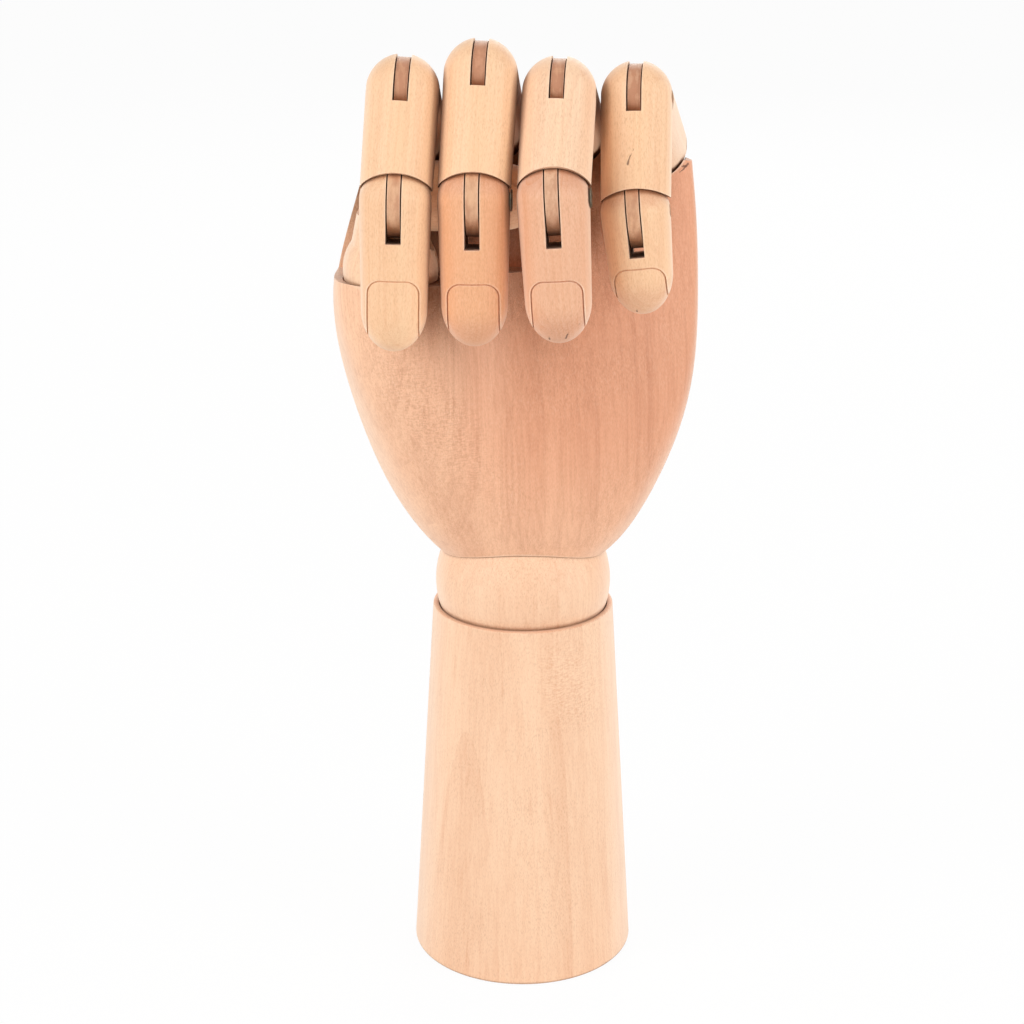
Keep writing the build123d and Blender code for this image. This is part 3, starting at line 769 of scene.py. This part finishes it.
class WOODEN_HAND_OT_forearm(bpy.types.Operator):
    """Finish the turned forearm and the wrist ball"""

    bl_idname = "wooden_hand.forearm"
    bl_label = "Forearm and Wrist Ball"

    def execute(self, context):
        wood = context.scene.hand_wood
        upright = Matrix.Rotation(math.radians(FOREARM_TILT), 4, "X")
        dress_wood("forearm", wood.forearm, upright, *GRAIN["forearm"])
        turn = Matrix.Rotation(math.radians(BALL_TURN), 4, "Z")
        ball = Matrix.Translation(box_middle("wrist_ball")) @ turn
        dress_wood("wrist_ball", wood.forearm, ball, *GRAIN["wrist_ball"])
        return {"FINISHED"}


class WOODEN_HAND_OT_palm(bpy.types.Operator):
    """Finish the palm block"""

    bl_idname = "wooden_hand.palm"
    bl_label = "Palm"

    def execute(self, context):
        wood = context.scene.hand_wood
        tilt = Matrix.Rotation(math.radians(PALM_TILT), 4, "Y")
        upright = Matrix.Translation(box_middle("palm")) @ tilt
        # The palm gets the painted shade of the fingers in the closed hand's hollow
        dress_wood(
            "palm", wood.palm, upright, *GRAIN["palm"], reach=wood.fist_shade_reach, late=wood.palm_late,
            figure=(wood.palm_fleck, wood.palm_fibre), blush=self.blush, fist_shade=True,
        )
        return {"FINISHED"}

    def blush(self, tree, where, tone):
        """Pale sapwood at the thumb side that turns to rosy heartwood across the palm, rosier
        towards the top as painted shade under the fingers.
        """
        wood = bpy.context.scene.hand_wood
        stretched = vector_node(tree, "MULTIPLY", where, (1.0, 1.0, 0.1))
        waver = product(tree, noise(tree, stretched, 110.0, 4.0, 0.6), HEART_WAVER)
        apart = node(tree, "ShaderNodeSeparateXYZ", Vector=where)
        heart = remap(tree, math_node(tree, "ADD", apart.outputs["X"], waver), *HEART_ACROSS)
        # Rosier up the palm: heartwood and painted shade under the fingers
        shade_up = remap(tree, apart.outputs["Z"], *HEART_AND_SHADE_UP, 1.0)
        heart = product(tree, heart, shade_up)
        return mix_colour(tree, heart, tone, opaque(wood.palm_rosy))


class WOODEN_HAND_OT_fingers(bpy.types.Operator):
    """Finish the three segments of each finger"""

    bl_idname = "wooden_hand.fingers"
    bl_label = "Fingers"

    def execute(self, context):
        wood = context.scene.hand_wood
        # Wood of the proximal, middle and distal segment
        tones = {
            "index": (wood.straw, wood.straw, wood.straw),
            "middle": (wood.rosy, wood.straw, wood.amber),
            "ring": (wood.straw, wood.pale, wood.rosy),
            "little": (wood.pale, wood.straw, wood.straw),
        }
        for count, finger in enumerate(FINGERS):
            places = [JOINT_PLACE[f"{finger}_{joint}"] for joint in ("knuckle", "middle", "tip")]
            places.append(farthest(f"{finger}_distal", places[2]))
            hinges = [JOINT_AXIS[f"{finger}_{joint}"] for joint in ("knuckle", "middle", "tip")]
            for step, segment in enumerate(("proximal", "middle", "distal")):
                name = f"{finger}_{segment}"
                start, stop = places[step], places[step + 1]
                axes = grain_axes(start, stop, hinges[step])
                pith = [
                    first + by_finger * count + by_segment * step
                    for first, by_finger, by_segment in zip(SEGMENT_PITH, FINGER_STEP, SEGMENT_STEP)
                ]
                grain = GRAIN.get(name, (pith, SEGMENT_END, SEGMENT_RINGS))
                radius = half_thickness(name, start, hinges[step])
                core = (start, core_way(start, stop, radius), radius)
                tongue = None
                if segment != "distal":
                    tongue = (stop, hinges[step + 1], TONGUE_REACH * radius, RUB_AND_SHADE_SHARES[step])
                # Painted shade between the fingers, in the saw cuts and on the tongues
                dress_wood(
                    name, tones[finger][step], axes, *grain,
                    reach=wood.finger_shade_reach, core=core, tongue=tongue,
                )
        return {"FINISHED"}


class WOODEN_HAND_OT_thumb(bpy.types.Operator):
    """Finish the two segments of the thumb"""

    bl_idname = "wooden_hand.thumb"
    bl_label = "Thumb"

    def execute(self, context):
        wood = context.scene.hand_wood
        root = JOINT_PLACE["thumb_swing"]
        bend = JOINT_PLACE["thumb_bend"]
        end = farthest("thumb_tip", bend)
        across = JOINT_AXIS["thumb_bend"]
        base = grain_axes(root, bend, across)
        tip = grain_axes(bend, end, across)
        radius = half_thickness("thumb_tip", bend, across)
        core = (bend, core_way(bend, end, radius), radius)
        tongue = (bend, across, TONGUE_REACH * radius, THUMB_RUB_AND_SHADE)
        # Painted shade round the thumb, on its tongue and in its saw cuts
        dress_wood(
            "thumb_base", wood.pale, base, *GRAIN["thumb_base"],
            reach=wood.thumb_shade_reach, tongue=tongue,
        )
        dress_wood(
            "thumb_tip", wood.straw, tip, *GRAIN["thumb_tip"], reach=wood.thumb_shade_reach, core=core
        )
        return {"FINISHED"}


class WOODEN_HAND_OT_pins(bpy.types.Operator):
    """Finish the steel pins of the joints"""

    bl_idname = "wooden_hand.pins"
    bl_label = "Joint Pins"

    def execute(self, context):
        ware = context.scene.hand_hardware
        steel = steel_material("pin_steel", ware.pin, ware.pin_rough)
        for name in frame["nodes"]:
            if name.endswith("_pin"):
                dress(name, steel)
        return {"FINISHED"}


class WOODEN_HAND_OT_wrist(bpy.types.Operator):
    """Wind the wrist spring and finish its eye and rod"""

    bl_idname = "wooden_hand.wrist"
    bl_label = "Wrist Spring"

    def execute(self, context):
        ware = context.scene.hand_hardware
        steel = steel_material("spring_steel", ware.spring, ware.spring_rough)
        dress("wrist_eye", steel)
        dress("wrist_rod", steel)
        low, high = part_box("wrist_spring")
        radius = (high[0] - low[0] - ware.wire) / 2
        bottom = low[2] + ware.wire / 2 + ware.loop
        top = high[2] - ware.wire / 2 - ware.loop
        foot, neck = bottom + ware.loop, top - ware.loop
        points = self.loop_points(ware, bottom, Vector((0, 1, 0)), -1)
        points += self.coil_points(ware, radius, foot, neck)
        points += reversed(self.loop_points(ware, top, Vector((1, 0, 0)), 1))
        # Three lengths of the wire, cut apart below the ball and at the nod's pivot, for the turn,
        # the nod and the sway
        pivot = JOINT_PLACE["wrist_nod"].z
        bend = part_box("wrist_ball")[0][2] - ware.bend_room
        marks = [next(i for i, p in enumerate(points) if p.z > height) for height in (bend, pivot)]
        for name, first, last, below, above, start, stop in (
            ("wrist_spring_foot", 0, marks[0], "forearm", "wrist_spring", foot, bend),
            ("wrist_spring_coil", marks[0], marks[1], "wrist_spring", "wrist_ball", bend, pivot),
            ("wrist_spring_neck", marks[1], len(points) - 1, "wrist_ball", "palm", pivot, neck),
        ):
            wire = self.wire_mesh(name, points[first:last + 1], ware.wire / 2, steel)
            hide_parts("wrist_spring")
            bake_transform(wire)
        return {"FINISHED"}

    def loop_points(self, ware, height, side, end):
        """End loop of the spring, from its free end round to the coil."""
        points = []
        steps = ware.turn_points
        for step in range(steps):
            turn = math.radians(LOOP_START + (360 - LOOP_START) * step / (steps - 1))
            out = side * (ware.loop * math.sin(turn))
            points.append(out - Vector((0, 0, end * ware.loop * math.cos(turn))))
        return [p + Vector((0, 0, height)) for p in points]

    def coil_points(self, ware, radius, low, high):
        """Close turns of the coil between two heights."""
        turns = (high - low) / (ware.wire * ware.pitch)
        steps = int(turns * ware.turn_points)
        points = []
        for step in range(steps + 1):
            turn = 2 * math.pi * step / ware.turn_points
            height = low + (high - low) * step / steps
            points.append(Vector((radius * math.cos(turn), radius * math.sin(turn), height)))
        return points

    def wire_mesh(self, name, points, thickness, material):
        """Round wire along a smooth line."""
        data = bpy.data.curves.new(name, "CURVE")
        data.dimensions = "3D"
        spline = data.splines.new("NURBS")
        spline.points.add(len(points) - 1)
        for knot, place in zip(spline.points, points):
            knot.co = (*place, 1.0)
        spline.order_u = 3
        spline.use_endpoint_u = True
        data.resolution_u = 3
        data.bevel_depth = thickness
        data.bevel_resolution = 2
        data.use_fill_caps = True
        line = bpy.data.objects.new(name, data)
        mesh = bpy.data.meshes.new_from_object(line)
        bpy.data.objects.remove(line)
        bpy.data.curves.remove(data)
        mesh.name = name
        mesh.materials.clear()
        mesh.materials.append(material)
        wire = bpy.data.objects.new(name, mesh)
        bpy.context.scene.collection.objects.link(wire)
        return wire


class WOODEN_HAND_OT_stage(bpy.types.Operator):
    """Set the floor, the lights and the camera"""

    bl_idname = "wooden_hand.stage"
    bl_label = "Stage"

    def execute(self, context):
        stage = context.scene.hand_stage
        self.make_floor(context, stage)
        self.make_sky(context, stage)
        for lamp in ("key", "fill", "back"):
            self.make_light(context, stage, lamp)
        self.make_camera(context, stage)
        context.scene.view_settings.view_transform = "Standard"
        return {"FINISHED"}

    def make_floor(self, context, stage):
        """Wide pale floor that looks white to the camera and keeps the hand's shadow."""
        mesh = bpy.data.meshes.new("floor")
        shape = bmesh.new()
        bmesh.ops.create_grid(shape, x_segments=1, y_segments=1, size=stage.floor_size / 2)
        shape.to_mesh(mesh)
        shape.free()
        floor = bpy.data.objects.new("floor", mesh)
        context.scene.collection.objects.link(floor)
        made, tree, shader = new_material("floor_paint")
        shader.inputs["Base Color"].default_value = opaque(stage.floor)
        shader.inputs["Roughness"].default_value = stage.floor_rough
        shader.inputs["Specular IOR Level"].default_value = stage.floor_gloss
        lift = product(tree, seen_ray(tree), stage.floor_white)
        white = node(tree, "ShaderNodeEmission", Color=WHITE, Strength=1.0)
        both = node(tree, "ShaderNodeMixShader")
        put(tree, both.inputs[0], lift)
        tree.links.new(shader.outputs[0], both.inputs[1])
        tree.links.new(white.outputs[0], both.inputs[2])
        tree.links.new(both.outputs[0], tree.nodes["Material Output"].inputs["Surface"])
        mesh.materials.append(made)

    def make_sky(self, context, stage):
        """Even white sky, dimmer as a light than as a backdrop."""
        sky = bpy.data.worlds.new("studio")
        context.scene.world = sky
        sky.use_nodes = True
        tree = sky.node_tree
        strength = remap(tree, seen_ray(tree), 0.0, 1.0, stage.sky, stage.sky_white)
        back = tree.nodes["Background"]
        back.inputs["Color"].default_value = WHITE
        tree.links.new(strength, back.inputs["Strength"])

    def make_light(self, context, stage, which):
        """Large square lamp aimed at the hand."""
        data = bpy.data.lights.new(f"{which}_light", "AREA")
        data.energy = getattr(stage, which)
        data.size = stage.lamp_size
        lamp = bpy.data.objects.new(f"{which}_light", data)
        lamp.location = getattr(stage, f"{which}_place")
        aim = stage.lamp_target - lamp.location
        lamp.rotation_euler = aim.to_track_quat("-Z", "Y").to_euler()
        context.scene.collection.objects.link(lamp)

    def make_camera(self, context, stage):
        """Camera at the photograph's angle."""
        data = bpy.data.cameras.new("camera")
        data.sensor_width = SENSOR_WIDTH
        data.lens = data.sensor_width * stage.focal_pixels / IMAGE_SIZE
        data.clip_start = stage.clip_start
        camera = bpy.data.objects.new("camera", data)
        camera.location = stage.camera_place
        camera.rotation_euler = (math.radians(90) - stage.camera_pitch, 0.0, 0.0)
        context.scene.collection.objects.link(camera)
        context.scene.camera = camera


def seen_ray(tree):
    """1 for rays that show the backdrop: from the camera, or through gloss or glass."""
    path = node(tree, "ShaderNodeLightPath")
    shown = math_node(tree, "MAXIMUM", path.outputs["Is Camera Ray"], path.outputs["Is Glossy Ray"])
    return math_node(tree, "MAXIMUM", shown, path.outputs["Is Transmission Ray"])


class WOODEN_HAND_PT_panel(bpy.types.Panel):
    """Sidebar list of the hand's steps"""

    bl_idname = "WOODEN_HAND_PT_panel"
    bl_label = "Wooden Hand"
    bl_space_type = "VIEW_3D"
    bl_region_type = "UI"
    bl_category = "Wooden Hand"

    def draw(self, context):
        for step in STEPS:
            self.layout.operator(step.bl_idname)
        for group in SETTINGS:
            box = self.layout.box()
            for prop in SETTINGS[group].__annotations__:
                box.prop(getattr(context.scene, group), prop)


STEPS = (
    WOODEN_HAND_OT_forearm,
    WOODEN_HAND_OT_palm,
    WOODEN_HAND_OT_fingers,
    WOODEN_HAND_OT_thumb,
    WOODEN_HAND_OT_pins,
    WOODEN_HAND_OT_wrist,
    WOODEN_HAND_OT_stage,
)
SETTINGS = {
    "hand_wood": WoodSettings,
    "hand_hardware": HardwareSettings,
    "hand_stage": StageSettings,
}


def register():
    """Make the settings, steps and panel known to Blender."""
    for group in SETTINGS:
        bpy.utils.register_class(SETTINGS[group])
        setattr(bpy.types.Scene, group, PointerProperty(type=SETTINGS[group]))
    for step in STEPS:
        bpy.utils.register_class(step)
    bpy.utils.register_class(WOODEN_HAND_PT_panel)


def unregister():
    """Take them away again."""
    bpy.utils.unregister_class(WOODEN_HAND_PT_panel)
    for step in reversed(STEPS):
        bpy.utils.unregister_class(step)
    for group in reversed(SETTINGS):
        delattr(bpy.types.Scene, group)
        bpy.utils.unregister_class(SETTINGS[group])


def main():
    """Register the settings, steps and panel, and run every step."""
    register()
    for step in STEPS:
        family, name = step.bl_idname.split(".")
        getattr(getattr(bpy.ops, family), name)()


if __name__ == "__main__":
    main()
